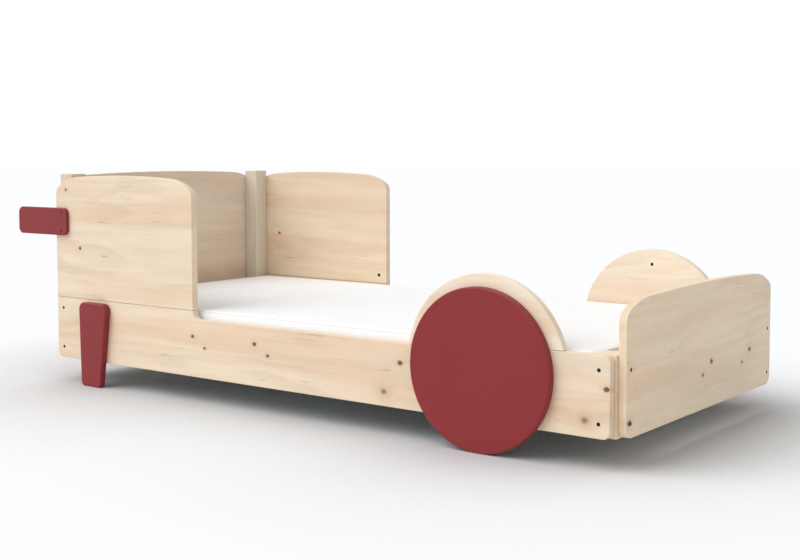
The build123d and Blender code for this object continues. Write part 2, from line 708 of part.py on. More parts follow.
def fittings():
    """Every group of fasteners, by node name."""
    outer_bolt = bolt(BOARD + BOLT_INTO_POST)
    inner_bolt = bolt(BOARD + SHORT_INSERT_LENGTH)
    pin = dowel(DOWEL_HALF)
    upright = panel_dowel_places() + arch_dowel_places()
    return {
        "rail_bolts": both_sides(placed(outer_bolt, rail_bolt_places(), OUT_NEAR)),
        "headboard_bolts": both_sides(placed(outer_bolt, headboard_bolt_places(), OUT_HEAD)),
        "footboard_bolts": both_sides(placed(outer_bolt, footboard_bolt_places(), OUT_FOOT)),
        "post_inserts": post_inserts(),
        "post_dowels": both_sides(placed(pin, side_dowel_places(), OUT_NEAR)),
        "rail_top_dowels": both_sides(placed(pin, upright, UP)),
        "cam_housings": both_sides(placed(cam_housing(), cam_places(), IN_NEAR)),
        "cam_pins": both_sides(placed(cam_pin(), cam_places(), UP)),
        "wheel_bolts": both_sides(placed(inner_bolt, wheel_bolt_places(), IN_NEAR)),
        "wheel_inserts": back_inserts(wheel_bolt_places()),
        "leg_bolts": both_sides(placed(inner_bolt, leg_bolt_places(), IN_NEAR)),
        "leg_inserts": back_inserts(leg_bolt_places()),
        "handle_screws": both_sides(
            placed(screw(HANDLE_SCREW_LENGTH), handle_screw_places(), OUT_NEAR)
        ),
        "ledger_screws": both_sides(
            placed(screw(LEDGER_SCREW_LENGTH), ledger_screw_places(), IN_NEAR)
        ),
        "slat_screws": both_sides(placed(screw(SLAT_SCREW_LENGTH), slat_screw_places(), UP)),
    }


def write(name, shape):
    """Write one node's file."""
    export_step(shape, f"parts/{name}.step")


def write_bed():
    """Build every piece and write it under its own name."""
    pairs = {
        "side_rail": side_rail(),
        "side_panel": side_panel(),
        "wheel_arch": wheel_arch(),
        "head_post": head_post(),
        "foot_post": foot_post(),
        "wheel_disc": wheel_disc(),
        "leg": leg(),
        "handle_board": handle_board(),
        "ledger": ledger(),
    }
    for name, near in pairs.items():
        write(f"{name}_near", near)
        write(f"{name}_far", mirrored(near))
    write("headboard", headboard())
    write("footboard", footboard())
    write("mattress", mattress())
    for number, x in enumerate(slat_centres(), start=1):
        write(f"slat_{number:02d}", slat(x))
    for name, group in fittings().items():
        write(name, group)


write_bed()
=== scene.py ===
import math

import bmesh
import bpy
import numpy as np
from bpy.props import FloatProperty, FloatVectorProperty, PointerProperty
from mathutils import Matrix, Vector


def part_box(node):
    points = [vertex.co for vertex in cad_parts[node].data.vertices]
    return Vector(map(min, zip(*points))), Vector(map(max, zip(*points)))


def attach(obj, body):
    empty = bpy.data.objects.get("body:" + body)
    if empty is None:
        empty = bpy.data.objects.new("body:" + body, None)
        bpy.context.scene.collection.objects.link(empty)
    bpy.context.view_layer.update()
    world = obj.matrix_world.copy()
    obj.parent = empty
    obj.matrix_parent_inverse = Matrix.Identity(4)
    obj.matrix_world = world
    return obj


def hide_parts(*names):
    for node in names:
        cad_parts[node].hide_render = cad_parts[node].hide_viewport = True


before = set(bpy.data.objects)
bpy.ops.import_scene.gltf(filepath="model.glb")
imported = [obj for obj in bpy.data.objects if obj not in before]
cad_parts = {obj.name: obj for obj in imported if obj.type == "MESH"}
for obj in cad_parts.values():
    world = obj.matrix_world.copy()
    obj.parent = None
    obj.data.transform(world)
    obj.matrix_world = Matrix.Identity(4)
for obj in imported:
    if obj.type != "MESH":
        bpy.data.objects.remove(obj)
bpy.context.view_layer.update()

bl_info = {
    "name": "Cart Floor Bed",
    "version": (1, 0, 0),
    "blender": (4, 5, 0),
    "location": "View3D > Sidebar > Floor Bed",
    "description": "Finishes a child's floor bed shaped like a hand cart",
    "category": "Object",
}

MATTRESS_LOW, MATTRESS_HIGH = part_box("mattress")

# Boards by the way their grain runs: along the bed, across it or upright
ALONG_THE_BED = (
    "side_rail_near",
    "side_rail_far",
    "side_panel_near",
    "side_panel_far",
    "wheel_arch_near",
    "wheel_arch_far",
)
ACROSS_THE_BED = ("headboard", "footboard")
UPRIGHT = ("head_post_near", "head_post_far", "foot_post_near", "foot_post_far")
LEDGERS = ("ledger_near", "ledger_far")
SLATS = tuple(sorted(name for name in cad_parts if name[:5] == "slat_" and name[5:].isdigit()))
PAINTED = (
    "wheel_disc_near",
    "wheel_disc_far",
    "leg_near",
    "leg_far",
    "handle_board_near",
    "handle_board_far",
)
BLACK_BOLTS = (
    "rail_bolts",
    "headboard_bolts",
    "footboard_bolts",
    "wheel_bolts",
    "leg_bolts",
    "handle_screws",
)
ZINC_SCREWS = ("ledger_screws", "slat_screws")
BRASSY_INSERTS = ("post_inserts", "wheel_inserts", "leg_inserts")
CAM_FITTINGS = ("cam_housings", "cam_pins")
DOWELS = ("post_dowels", "rail_top_dowels")

# Knots as (place along the grain, height, radius), in metres in the bed's frame
KNOTS = {
    "side_rail_near": (
        (-0.299, 0.198, 0.0045),
        (-0.249, 0.167, 0.0035),
        (-0.047, 0.198, 0.0050),
        (0.004, 0.169, 0.0040),
        (0.474, 0.197, 0.0055),
        (0.420, 0.116, 0.0075),
        (1.074, 0.196, 0.0055),
        (1.017, 0.117, 0.0080),
    ),
    "side_rail_far": ((-0.610, 0.150, 0.0060), (0.125, 0.205, 0.0050), (0.560, 0.128, 0.0080)),
    "side_panel_near": ((-0.8115, 0.4356, 0.0045), (-0.878, 0.621, 0.0035)),
    "side_panel_far": ((-0.8116, 0.4359, 0.0040),),
    "wheel_arch_near": ((0.640, 0.300, 0.0040),),
    "wheel_arch_far": ((0.880, 0.330, 0.0040),),
    "headboard": ((-0.210, 0.455, 0.0060), (0.265, 0.235, 0.0075), (0.120, 0.590, 0.0040)),
    "footboard": (
        (0.033, 0.197, 0.0055),
        (-0.020, 0.168, 0.0040),
        (0.292, 0.196, 0.0055),
        (0.239, 0.167, 0.0035),
        (-0.432, 0.114, 0.0060),
    ),
}

# Painted light and shade: factors on the wood's colour that make some boards paler, standing in for
# more light on them, or darker and cooler, standing in for the shade in the bed's head corner
PAINTED_LIGHT_TINTS = {
    "wheel_arch_near": (1.10, 1.16, 1.22),
    "wheel_arch_far": (1.03, 1.06, 1.10),
    "footboard": (1.05, 1.05, 1.04),
    "headboard": (0.95, 0.99, 1.05),
    "head_post_near": (0.88, 0.95, 1.02),
    "head_post_far": (0.88, 0.95, 1.02),
}


class PineSettings(bpy.types.PropertyGroup):
    """Colours and sizes of the pine boards."""

    pale: FloatVectorProperty(
        name="Pale Wood",
        description="Colour of the palest bands of the wood",
        subtype="COLOR",
        size=3,
        min=0.0,
        max=1.0,
        default=(0.88, 0.735, 0.565),
    )
    warm: FloatVectorProperty(
        name="Warm Wood",
        description="Colour of the warmer, pinker bands",
        subtype="COLOR",
        size=3,
        min=0.0,
        max=1.0,
        default=(0.825, 0.63, 0.455),
    )
    ring: FloatVectorProperty(
        name="Ring Line",
        description="Colour of ring lines, flame lines and the wood round a knot",
        subtype="COLOR",
        size=3,
        min=0.0,
        max=1.0,
        default=(0.60, 0.40, 0.235),
    )
    knot: FloatVectorProperty(
        name="Knot",
        description="Colour of a knot's core",
        subtype="COLOR",
        size=3,
        min=0.0,
        max=1.0,
        default=(0.135, 0.075, 0.04),
    )
    ring_spacing: FloatProperty(
        name="Ring Spacing",
        description="Distance between two growth rings",
        unit="LENGTH",
        subtype="DISTANCE",
        default=0.0075,
    )
    stave_width: FloatProperty(
        name="Stave Width",
        description="Width of one stave of a glued-up board",
        unit="LENGTH",
        subtype="DISTANCE",
        default=0.098,
    )
    roughness: FloatProperty(
        name="Roughness",
        description="Roughness of the lacquer",
        subtype="FACTOR",
        min=0.0,
        max=1.0,
        default=0.55,
    )


class PaintSettings(bpy.types.PropertyGroup):
    """Colours and sizes of the painted boards."""

    red: FloatVectorProperty(
        name="Red",
        description="Colour of the red paint",
        subtype="COLOR",
        size=3,
        min=0.0,
        max=1.0,
        default=(0.252, 0.019, 0.022),
    )
    roughness: FloatProperty(
        name="Roughness",
        description="Roughness of the satin paint",
        subtype="FACTOR",
        min=0.0,
        max=1.0,
        default=0.42,
    )
    grain_depth: FloatProperty(
        name="Grain Depth",
        description="How far the wood's grain shows through the paint",
        unit="LENGTH",
        subtype="DISTANCE",
        default=0.00006,
    )


class MattressSettings(bpy.types.PropertyGroup):
    """Colours and sizes of the mattress."""

    cover: FloatVectorProperty(
        name="Cover",
        description="Colour of the cotton cover",
        subtype="COLOR",
        size=3,
        min=0.0,
        max=1.0,
        default=(0.980, 0.985, 0.990),
    )
    crown: FloatProperty(
        name="Crown",
        description="How far the top rises from its seam to its middle",
        unit="LENGTH",
        subtype="DISTANCE",
        default=0.007,
    )
    seam_radius: FloatProperty(
        name="Piping Radius",
        description="Radius of the piping along both seams",
        unit="LENGTH",
        subtype="DISTANCE",
        default=0.0016,
    )
    thread_spacing: FloatProperty(
        name="Thread Spacing",
        description="Distance between two threads of the cover's weave",
        unit="LENGTH",
        subtype="DISTANCE",
        default=0.0011,
    )


class StageSettings(bpy.types.PropertyGroup):
    """Camera, floor and lamps."""

    camera_place: FloatVectorProperty(
        name="Camera Place",
        description="Where the camera stands",
        subtype="TRANSLATION",
        unit="LENGTH",
        size=3,
        default=(2.42627, -3.02507, 0.74612),
    )
    camera_turn: FloatProperty(
        name="Camera Turn",
        description="How far the camera is turned from the bed's cross direction",
        subtype="ANGLE",
        default=0.638,
    )
    camera_dip: FloatProperty(
        name="Camera Dip",
        description="How far the camera looks down",
        subtype="ANGLE",
        default=0.063,
    )
    camera_shift: FloatVectorProperty(
        name="Camera Shift",
        description="How far the picture is shifted, as a share of its width",
        size=2,
        default=(-0.0240, -0.0630),
    )
    lens: FloatProperty(
        name="Lens",
        description="Focal length in millimetres",
        default=56.23,
    )
    floor: FloatProperty(
        name="Floor Tone",
        description="Reflectance of the floor",
        subtype="FACTOR",
        min=0.0,
        max=1.0,
        default=0.8,
    )
    seen_floor: FloatVectorProperty(
        name="Seen Floor",
        description="Colour of the floor where the camera sees it",
        subtype="COLOR",
        size=3,
        min=0.0,
        max=1.0,
        default=(0.955, 0.968, 0.985),
    )
    # The next settings shape the painted soft shade in the floor's seen colour, found by ambient
    # occlusion
    shade_reach: FloatProperty(
        name="Shade Reach",
        description="How far from the bed its soft shade on the floor begins",
        unit="LENGTH",
        subtype="DISTANCE",
        default=0.9,
    )
    shade_depth: FloatProperty(
        name="Shade Depth",
        description="How strongly the soft shade darkens the floor",
        default=0.8,
    )
    shade_least: FloatProperty(
        name="Shade Least",
        description="Share of the floor's tone that is left in the deepest soft shade",
        subtype="FACTOR",
        min=0.0,
        max=1.0,
        default=0.62,
    )
    # Painted shade colour deep under the bed
    shade_tint: FloatVectorProperty(
        name="Shade Tint",
        description="Tint of the floor deep under the bed, against the warm glow of the wood",
        subtype="COLOR",
        size=3,
        min=0.0,
        max=2.0,
        default=(0.80, 1.0, 1.18),
    )
    dome: FloatProperty(
        name="Dome Light",
        description="Strength of the even light from all round",
        default=0.60,
    )
    key: FloatProperty(
        name="Key Light",
        description="Strength of the broad soft light from one side",
        default=1.8,
    )
    key_spread: FloatProperty(
        name="Key Spread",
        description="How wide the soft light is, as seen from the bed",
        subtype="ANGLE",
        default=math.radians(55.0),
    )
    key_from: FloatVectorProperty(
        name="Key From",
        description="Direction from the bed towards the soft light",
        subtype="DIRECTION",
        size=3,
        default=(-0.44, -0.52, 0.73),
    )


class Shader:
    """The nodes of one material or group, linked as they are made."""

    def __init__(self, tree):
        self.tree = tree

    def node(self, kind, **settings):
        """A new node with some of its settings."""
        made = self.tree.nodes.new(kind)
        for name, value in settings.items():
            setattr(made, name, value)
        return made

    def feed(self, socket, value):
        """Link an output to a socket, or set the socket's own value."""
        if isinstance(value, bpy.types.NodeSocket):
            self.tree.links.new(value, socket)
        else:
            socket.default_value = value

    def math(self, operation, *values):
        """One sum or function of numbers."""
        made = self.node("ShaderNodeMath", operation=operation)
        for socket, value in zip(made.inputs, values):
            self.feed(socket, value)
        return made.outputs[0]

    def vector(self, x=0.0, y=0.0, z=0.0):
        """A vector from three numbers."""
        made = self.node("ShaderNodeCombineXYZ")
        for socket, value in zip(made.inputs, (x, y, z)):
            self.feed(socket, value)
        return made.outputs[0]

    def parts(self, vector):
        """The three numbers of a vector."""
        made = self.node("ShaderNodeSeparateXYZ")
        self.feed(made.inputs[0], vector)
        return made.outputs[0], made.outputs[1], made.outputs[2]

    def scaled(self, vector, scale):
        """A vector with each number multiplied by its own factor."""
        made = self.node("ShaderNodeVectorMath", operation="MULTIPLY")
        self.feed(made.inputs[0], vector)
        self.feed(made.inputs[1], scale)
        return made.outputs[0]

    def noise(self, vector, scale=1.0, detail=2.0, roughness=0.5):
        """Smooth noise, about 0.5 on average."""
        made = self.node("ShaderNodeTexNoise")
        self.feed(made.inputs["Vector"], vector)
        self.feed(made.inputs["Scale"], scale)
        self.feed(made.inputs["Detail"], detail)
        self.feed(made.inputs["Roughness"], roughness)
        return made.outputs["Fac"]

    def squares(self, a, b):
        """The sum of two numbers' squares."""
        return self.math("ADD", self.math("POWER", a, 2.0), self.math("POWER", b, 2.0))

    def step(self, value, low, high, start=0.0, end=1.0):
        """A smooth step from start to end while the value goes from low to high."""
        made = self.node("ShaderNodeMapRange", interpolation_type="SMOOTHSTEP")
        for socket, number in zip(made.inputs, (value, low, high, start, end)):
            self.feed(socket, number)
        return made.outputs[0]

    def swing(self, value, width, middle=0.0):
        """A number that swings about its middle, by a width, as the value goes from 0 to 1."""
        return self.math("MULTIPLY_ADD", value, width, middle - width / 2)

    def mix(self, factor, a, b, blend="MIX"):
        """A mix of two colours; its sockets 0, 6 and 7 are the factor and the colours."""
        made = self.node("ShaderNodeMix", data_type="RGBA", blend_type=blend)
        for index, value in ((0, factor), (6, a), (7, b)):
            self.feed(made.inputs[index], value)
        return made.outputs[2]

    def grey(self, value):
        """A grey colour from a number."""
        made = self.node("ShaderNodeCombineColor")
        for socket in made.inputs:
            self.feed(socket, value)
        return made.outputs[0]

    def bump(self, height, distance):
        """A bumped normal."""
        made = self.node("ShaderNodeBump")
        self.feed(made.inputs["Strength"], 1.0)
        self.feed(made.inputs["Distance"], distance)
        self.feed(made.inputs["Height"], height)
        return made.outputs["Normal"]


def opaque(colour):
    """A colour with full alpha."""
    return (*colour, 1.0)


def new_material(name):
    """A new material, the shader that builds it and its main surface node."""
    material = bpy.data.materials.new(name)
    material.use_nodes = True
    surface = material.node_tree.nodes["Principled BSDF"]
    return material, Shader(material.node_tree), surface


def coordinates(shader):
    """Object coordinates, which are the bed's own frame in metres."""
    return shader.node("ShaderNodeTexCoord").outputs["Object"]


def dress(name, material):
    """Give a carried-over board or fitting its finish."""
    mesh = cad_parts[name].data
    mesh.materials.clear()
    mesh.materials.append(material)


# Pine

# Noises as (rate along the grain, rate across it, detail), with the rates per metre
SWAY_NOISE = (2.4, 5.0, 2.0)
RIPPLE_NOISE = (3.0, 22.0, 2.0)
BAND_NOISE = (0.8, 13.0, 3.0)
STREAK_NOISE = (2.0, 62.0, 4.0)
FIBRE_NOISE = (14.0, 480.0, 2.0)
BLOTCH_NOISE = (5.0, 15.0, 3.0)
PATCH_NOISE = (2.6, 9.0, 2.0)
FLAME_NOISE = (11.0, 165.0, 2.0)

# The pith's drift along a stave, sideways and in depth: rate per metre and width in metres
SIDE_DRIFT_RATE = 1.6
SIDE_DRIFT = 0.03
DEPTH_DRIFT_RATE = 0.9
DEPTH_DRIFT = 0.07

# The least depth of a pith and how much deeper it may lie, in metres
PITH_DEPTH = 0.045
PITH_SPREAD = 0.10

# Widths of the bands' sway and of the rings' ripple, in metres
SWAY = 0.05
RIPPLE = 0.008

# How far boards and staves are slid apart in the noise, in metres for each unit of seed or dice
BOARD_SLIDE = 5.3
STAVE_SLIDE = 7.0

# Values between which each pattern comes in
RING_RISE = (0.15, 0.9)
RING_FALL = (0.9, 1.0)
BAND_STEP = (0.36, 0.66)
CLEAR_STEP = (0.42, 0.68)
FLAME_STEP = (0.63, 0.75)
FLAME_PATCH_STEP = (0.48, 0.60)

# Strengths of the patterns in the colour
BLOTCH_IN_BANDS = 0.5
RING_STRENGTH = 0.20
FLAME_STRENGTH = 0.75
HALO_STRENGTH = 0.5
STAVE_SWING = 0.02
STREAK_SWING = 0.18
BLOTCH_SWING = 0.22
FIBRE_SWING = 0.05

# The grain's depth in metres, and how far ring lines sink and fibres rise as shares of it
GRAIN_DEPTH = 0.00012
RING_SINK = 0.5
FIBRE_RISE = 0.6
LACQUER_GLOSS = 0.35

# Knots as (start of the soft edge in radii, strength of the core, fade of the halo)
DEAD_KNOT = (1.0, 0.94, 0.22)
SOUND_KNOT = (0.4, 0.75, 0.12)

# Radius past which a knot is a sound one, in metres
SOUND_RADIUS = 0.0065

# A knot's length in widths, the end of its soft edge in radii, and how its outline frays
KNOT_LENGTH = 1.25
KNOT_END = 1.75
FRAY = 0.5
FRAY_RATES = (260.0, 260.0, 60.0)

# How far a knot pushes the rings aside, in radii, and how that fades
PUSH = 1.6
PUSH_FADE = 0.09

# A stave width, in metres, that no board reaches, so that such a board comes from one log
ONE_LOG = 1.0

# Boards as (names, axes along, across and through the grain, seed step, first count, glued up)
BOARD_GROUPS = (
    (ALONG_THE_BED, (0, 2, 1), 3.37, 1, True),
    (ACROSS_THE_BED, (1, 2, 0), 2.71, 9, True),
    (UPRIGHT, (2, 0, 1), 5.13, 4, False),
    (LEDGERS, (0, 2, 1), 1.91, 7, False),
    (SLATS, (1, 0, 2), 0.83, 3, False),
)


def pine_group(pine):
    """The pine pattern as a node group, shared by every board.

    A board is a stack of staves, each cut from its own log. A point's distance
    from that log's pith, divided by the ring spacing, is its ring count, and
    the fraction of the ring count runs from pale wood to a thin darker line.
    The pith drifts slowly along the board. Over the rings lie broad bands of
    tone, broken up by blotches, then finer streaks, fibres and a few short dark
    flame lines, each a noise stretched along the grain. Knots push the rings
    aside and darken them.
    """
    tree = bpy.data.node_groups.new("pine grain", "ShaderNodeTree")
    face = tree.interface
    face.new_socket("Grain", in_out="INPUT", socket_type="NodeSocketVector")
    for name in ("Seed", "Stave", "Bulge", "Knot", "Halo"):
        face.new_socket(name, in_out="INPUT", socket_type="NodeSocketFloat")
    # The Tint input carries a board's painted light and shade, a factor that makes it paler or
    # darker for how light falls on it
    face.new_socket("Tint", in_out="INPUT", socket_type="NodeSocketColor")
    face.new_socket("Color", in_out="OUTPUT", socket_type="NodeSocketColor")
    face.new_socket("Height", in_out="OUTPUT", socket_type="NodeSocketFloat")
    shader = Shader(tree)
    given = shader.node("NodeGroupInput").outputs
    along, across, through = shader.parts(given["Grain"])
    seed = given["Seed"]

    stave = shader.math("ADD", shader.math("DIVIDE", across, given["Stave"]), seed)
    index = shader.math("FLOOR", stave)
    place = shader.math("SUBTRACT", shader.math("FRACT", stave), 0.5)
    place = shader.math("MULTIPLY", place, given["Stave"])
    dice = shader.node("ShaderNodeTexWhiteNoise", noise_dimensions="2D")
    shader.feed(dice.inputs["Vector"], shader.vector(index, seed))
    depth_roll, side_roll, tone_roll = shader.parts(dice.outputs["Color"])
    slid = shader.math("MULTIPLY_ADD", seed, BOARD_SLIDE, along)
    slid_stave = shader.math("MULTIPLY_ADD", tone_roll, STAVE_SLIDE, slid)

    def stretched(level, noise):
        """A noise stretched along the grain, where level is a point's place across it."""
        rate, cross_rate, detail = noise
        spot = shader.vector(
            shader.math("MULTIPLY", slid, rate),
            shader.math("MULTIPLY", level, cross_rate),
            shader.math("MULTIPLY", through, cross_rate),
        )
        return shader.noise(spot, detail=detail)

    def drifting(rate, second, third):
        """A slow noise along one stave, told apart by its second and third numbers."""
        spot = shader.vector(shader.math("MULTIPLY", slid_stave, rate), second, third)
        return shader.noise(spot, detail=1.0)

    sway = shader.swing(stretched(across, SWAY_NOISE), SWAY)
    swayed = shader.math("ADD", shader.math("ADD", across, sway), given["Bulge"])

    side_drift = shader.swing(drifting(SIDE_DRIFT_RATE, seed, index), SIDE_DRIFT)
    depth_drift = shader.swing(drifting(DEPTH_DRIFT_RATE, index, seed), DEPTH_DRIFT)
    ripple = shader.swing(stretched(across, RIPPLE_NOISE), RIPPLE)
    pith_across = shader.math("MULTIPLY", shader.math("SUBTRACT", side_roll, 0.5), given["Stave"])
    sideways = shader.math("ADD", shader.math("SUBTRACT", place, pith_across), side_drift)
    pith_depth = shader.math("MULTIPLY_ADD", depth_roll, PITH_SPREAD, PITH_DEPTH)
    inward = shader.math("ADD", shader.math("ADD", through, pith_depth), depth_drift)
    radius = shader.math("SQRT", shader.squares(sideways, inward))
    radius = shader.math("ADD", shader.math("ADD", radius, ripple), given["Bulge"])
    fraction = shader.math("FRACT", shader.math("DIVIDE", radius, pine.ring_spacing))
    rise = shader.step(fraction, *RING_RISE)
    fall = shader.step(fraction, *RING_FALL, 1.0, 0.0)
    line = shader.math("MULTIPLY", rise, fall)

    streaks = stretched(swayed, STREAK_NOISE)
    fibre = stretched(swayed, FIBRE_NOISE)
    blotches = stretched(across, BLOTCH_NOISE)
    patchy = stretched(across, PATCH_NOISE)
    bands = shader.swing(blotches, BLOTCH_IN_BANDS)
    bands = shader.math("ADD", bands, stretched(swayed, BAND_NOISE))
    bands = shader.step(bands, *BAND_STEP)
    clear = shader.step(patchy, *CLEAR_STEP)
    flames = shader.step(stretched(swayed, FLAME_NOISE), *FLAME_STEP)
    flames = shader.math("MULTIPLY", flames, shader.step(patchy, *FLAME_PATCH_STEP))

    colour = shader.mix(bands, opaque(pine.pale), opaque(pine.warm))
    inked = shader.math("MULTIPLY", shader.math("MULTIPLY", line, clear), RING_STRENGTH)
    inked = shader.math("MAXIMUM", inked, shader.math("MULTIPLY", flames, FLAME_STRENGTH))
    colour = shader.mix(inked, colour, opaque(pine.ring))
    tone = shader.math("MULTIPLY_ADD", tone_roll, STAVE_SWING, 1.0 - STAVE_SWING)
    for pattern, width in ((streaks, STREAK_SWING), (blotches, BLOTCH_SWING), (fibre, FIBRE_SWING)):
        tone = shader.math("ADD", tone, shader.swing(pattern, width))
    colour = shader.mix(1.0, colour, shader.grey(tone), blend="MULTIPLY")
    # Painted light and shade: multiply by the board's Tint
    colour = shader.mix(1.0, colour, given["Tint"], blend="MULTIPLY")
    halo = shader.math("MULTIPLY", given["Halo"], HALO_STRENGTH)
    colour = shader.mix(halo, colour, opaque(pine.ring))
    colour = shader.mix(given["Knot"], colour, opaque(pine.knot))

    rough = shader.math("MULTIPLY", fibre, FIBRE_RISE)
    height = shader.math("MULTIPLY_ADD", line, -RING_SINK, rough)
    result = shader.node("NodeGroupOutput")
    shader.feed(result.inputs["Color"], colour)
    shader.feed(result.inputs["Height"], height)
    return tree


def knot_pattern(shader, grain, knots):
    """How far each point is into a knot's core and halo, and how far its rings are pushed.

    A knot is a branch that runs through the board. With d the distance from its
    middle in knot radii, which are longer along the grain, the core ends softly
    near d = 1, the halo is exp(-fade * d^2), and the rings are pushed aside by
    PUSH radii times exp(-PUSH_FADE * d^2).
    """
    core, halo, bulge = 0.0, 0.0, 0.0
    along, across, _ = shader.parts(grain)
    fray = shader.noise(shader.scaled(grain, FRAY_RATES), detail=2.0)
    for place, height, radius in knots:
        soft_from, strength, fade = SOUND_KNOT if radius > SOUND_RADIUS else DEAD_KNOT
        one = shader.math("DIVIDE", shader.math("SUBTRACT", along, place), radius * KNOT_LENGTH)
        two = shader.math("DIVIDE", shader.math("SUBTRACT", across, height), radius)
        square = shader.squares(one, two)
        frayed = shader.math("MULTIPLY", fray, FRAY)
        distance = shader.math("ADD", shader.math("SQRT", square), frayed)
        inside = shader.step(distance, soft_from, KNOT_END, strength, 0.0)
        near = shader.math("EXPONENT", shader.math("MULTIPLY", square, -fade))
        wide = shader.math("EXPONENT", shader.math("MULTIPLY", square, -PUSH_FADE))
        core = shader.math("MAXIMUM", core, inside)
        halo = shader.math("MAXIMUM", halo, near)
        bulge = shader.math("ADD", bulge, shader.math("MULTIPLY", wide, radius * PUSH))
    return core, halo, bulge


def pine_board(name, pine, group, seed, axes, stave):
    """The finish of one pine board; axes are its ways along, across and through the grain."""
    material, shader, surface = new_material(f"pine {name}")
    place = shader.parts(coordinates(shader))
    grain = shader.vector(*[place[axis] for axis in axes])
    knots = KNOTS.get(name, ())
    core, halo, bulge = knot_pattern(shader, grain, knots) if knots else (0.0, 0.0, 0.0)
    # The board's painted light and shade, paler or darker for how light falls on it
    tint = opaque(PAINTED_LIGHT_TINTS.get(name, (1.0, 1.0, 1.0)))
    made = shader.node("ShaderNodeGroup", node_tree=group)
    for socket, value in (
        ("Grain", grain),
        ("Seed", seed),
        ("Stave", stave),
        ("Bulge", bulge),
        ("Knot", core),
        ("Halo", halo),
        ("Tint", tint),
    ):
        shader.feed(made.inputs[socket], value)
    shader.feed(surface.inputs["Base Color"], made.outputs["Color"])
    surface.inputs["Roughness"].default_value = pine.roughness
    surface.inputs["Specular IOR Level"].default_value = LACQUER_GLOSS
    shader.feed(surface.inputs["Normal"], shader.bump(made.outputs["Height"], GRAIN_DEPTH))
    dress(name, material)


class FLOORBED_OT_pine_boards(bpy.types.Operator):
    """Finish the rails, panels, half-round boards, end boards, posts, ledgers and slats"""

    bl_idname = "floorbed.pine_boards"
    bl_label = "Finish Pine Boards"

    def execute(self, context):
        pine = context.scene.floorbed_pine
        group = pine_group(pine)
        for names, axes, seed_step, first, glued_up in BOARD_GROUPS:
            stave = pine.stave_width if glued_up else ONE_LOG
            for number, name in enumerate(names):
                pine_board(name, pine, group, seed_step * (number + first), axes, stave)
        return {"FINISHED"}


# Paint and fittings

# Noise rates per metre of the wood's grain under the paint, of its peel and of its clouds
PAINT_GRAIN_RATES = (8.0, 8.0, 160.0)
PEEL_RATE = 420.0
PAINT_CLOUD_RATE = 5.0

# How far the clouds swing the paint's tone and the peel its roughness, and the peel's relief
PAINT_CLOUD = 0.06
PEEL_ROUGHNESS = 0.08
PEEL_SHARE = 0.5
PAINT_GLOSS = 0.4

# How far clouds swing a metal's tone and roughness, and its pits' fineness and depth in metres
METAL_CLOUD = 0.3
METAL_ROUGHNESS = 0.16
PIT_FINENESS = 9.0
PIT_DEPTH = 0.00004

# Metals as (name, colour, roughness, how metallic, clouds per metre, fittings)
METALS = (
    ("black bolt", (0.006, 0.005, 0.005), 0.62, 0.0, 300.0, BLACK_BOLTS),
    ("zinc screw", (0.10, 0.10, 0.10), 0.42, 0.8, 260.0, ZINC_SCREWS),
    ("passivated insert", (0.62, 0.52, 0.30), 0.34, 1.0, 240.0, BRASSY_INSERTS),
    ("cast cam", (0.03, 0.028, 0.026), 0.5, 0.4, 220.0, CAM_FITTINGS),
)

# Beech of the dowels
DOWEL_DARK = (0.62, 0.42, 0.25)
DOWEL_PALE = (0.72, 0.53, 0.34)
DOWEL_FLECK_RATES = (90.0, 90.0, 700.0)
DOWEL_ROUGHNESS = 0.7


def red_paint(paint):
    """Satin red paint over wood, with a little of the grain under it."""
    material, shader, surface = new_material("red paint")
    place = coordinates(shader)
    grain = shader.noise(shader.scaled(place, PAINT_GRAIN_RATES), detail=3.0)
    peel = shader.noise(place, scale=PEEL_RATE, detail=1.0)
    cloud = shader.noise(place, scale=PAINT_CLOUD_RATE, detail=2.0)
    tone = shader.swing(cloud, PAINT_CLOUD, 1.0)
    colour = shader.mix(1.0, opaque(paint.red), shader.grey(tone), blend="MULTIPLY")
    shader.feed(surface.inputs["Base Color"], colour)
    shader.feed(surface.inputs["Roughness"], shader.swing(peel, PEEL_ROUGHNESS, paint.roughness))
    surface.inputs["Specular IOR Level"].default_value = PAINT_GLOSS
    height = shader.math("ADD", grain, shader.math("MULTIPLY", peel, PEEL_SHARE))
    shader.feed(surface.inputs["Normal"], shader.bump(height, paint.grain_depth))
    return material


def metal(name, colour, roughness, metallic, rate):
    """A small fitting's metal, cloudy and faintly pitted, with its clouds' rate per metre."""
    material, shader, surface = new_material(name)
    place = coordinates(shader)
    cloud = shader.noise(place, scale=rate, detail=3.0)
    pits = shader.noise(place, scale=rate * PIT_FINENESS, detail=2.0)
    tone = shader.swing(cloud, METAL_CLOUD, 1.0)
    tinted = shader.mix(1.0, opaque(colour), shader.grey(tone), blend="MULTIPLY")
    shader.feed(surface.inputs["Base Color"], tinted)
    surface.inputs["Metallic"].default_value = metallic
    shader.feed(surface.inputs["Roughness"], shader.swing(cloud, METAL_ROUGHNESS, roughness))
    shader.feed(surface.inputs["Normal"], shader.bump(pits, PIT_DEPTH))
    return material


def dowel_wood():
    """Plain beech with short flecks."""
    material, shader, surface = new_material("dowel wood")
    fleck = shader.noise(shader.scaled(coordinates(shader), DOWEL_FLECK_RATES), detail=2.0)
    colour = shader.mix(fleck, opaque(DOWEL_DARK), opaque(DOWEL_PALE))
    shader.feed(surface.inputs["Base Color"], colour)
    surface.inputs["Roughness"].default_value = DOWEL_ROUGHNESS
    return material


class FLOORBED_OT_painted_boards(bpy.types.Operator):
    """Finish the discs, legs and handle boards"""

    bl_idname = "floorbed.painted_boards"
    bl_label = "Finish Painted Boards"

    def execute(self, context):
        material = red_paint(context.scene.floorbed_paint)
        for name in PAINTED:
            dress(name, material)
        return {"FINISHED"}


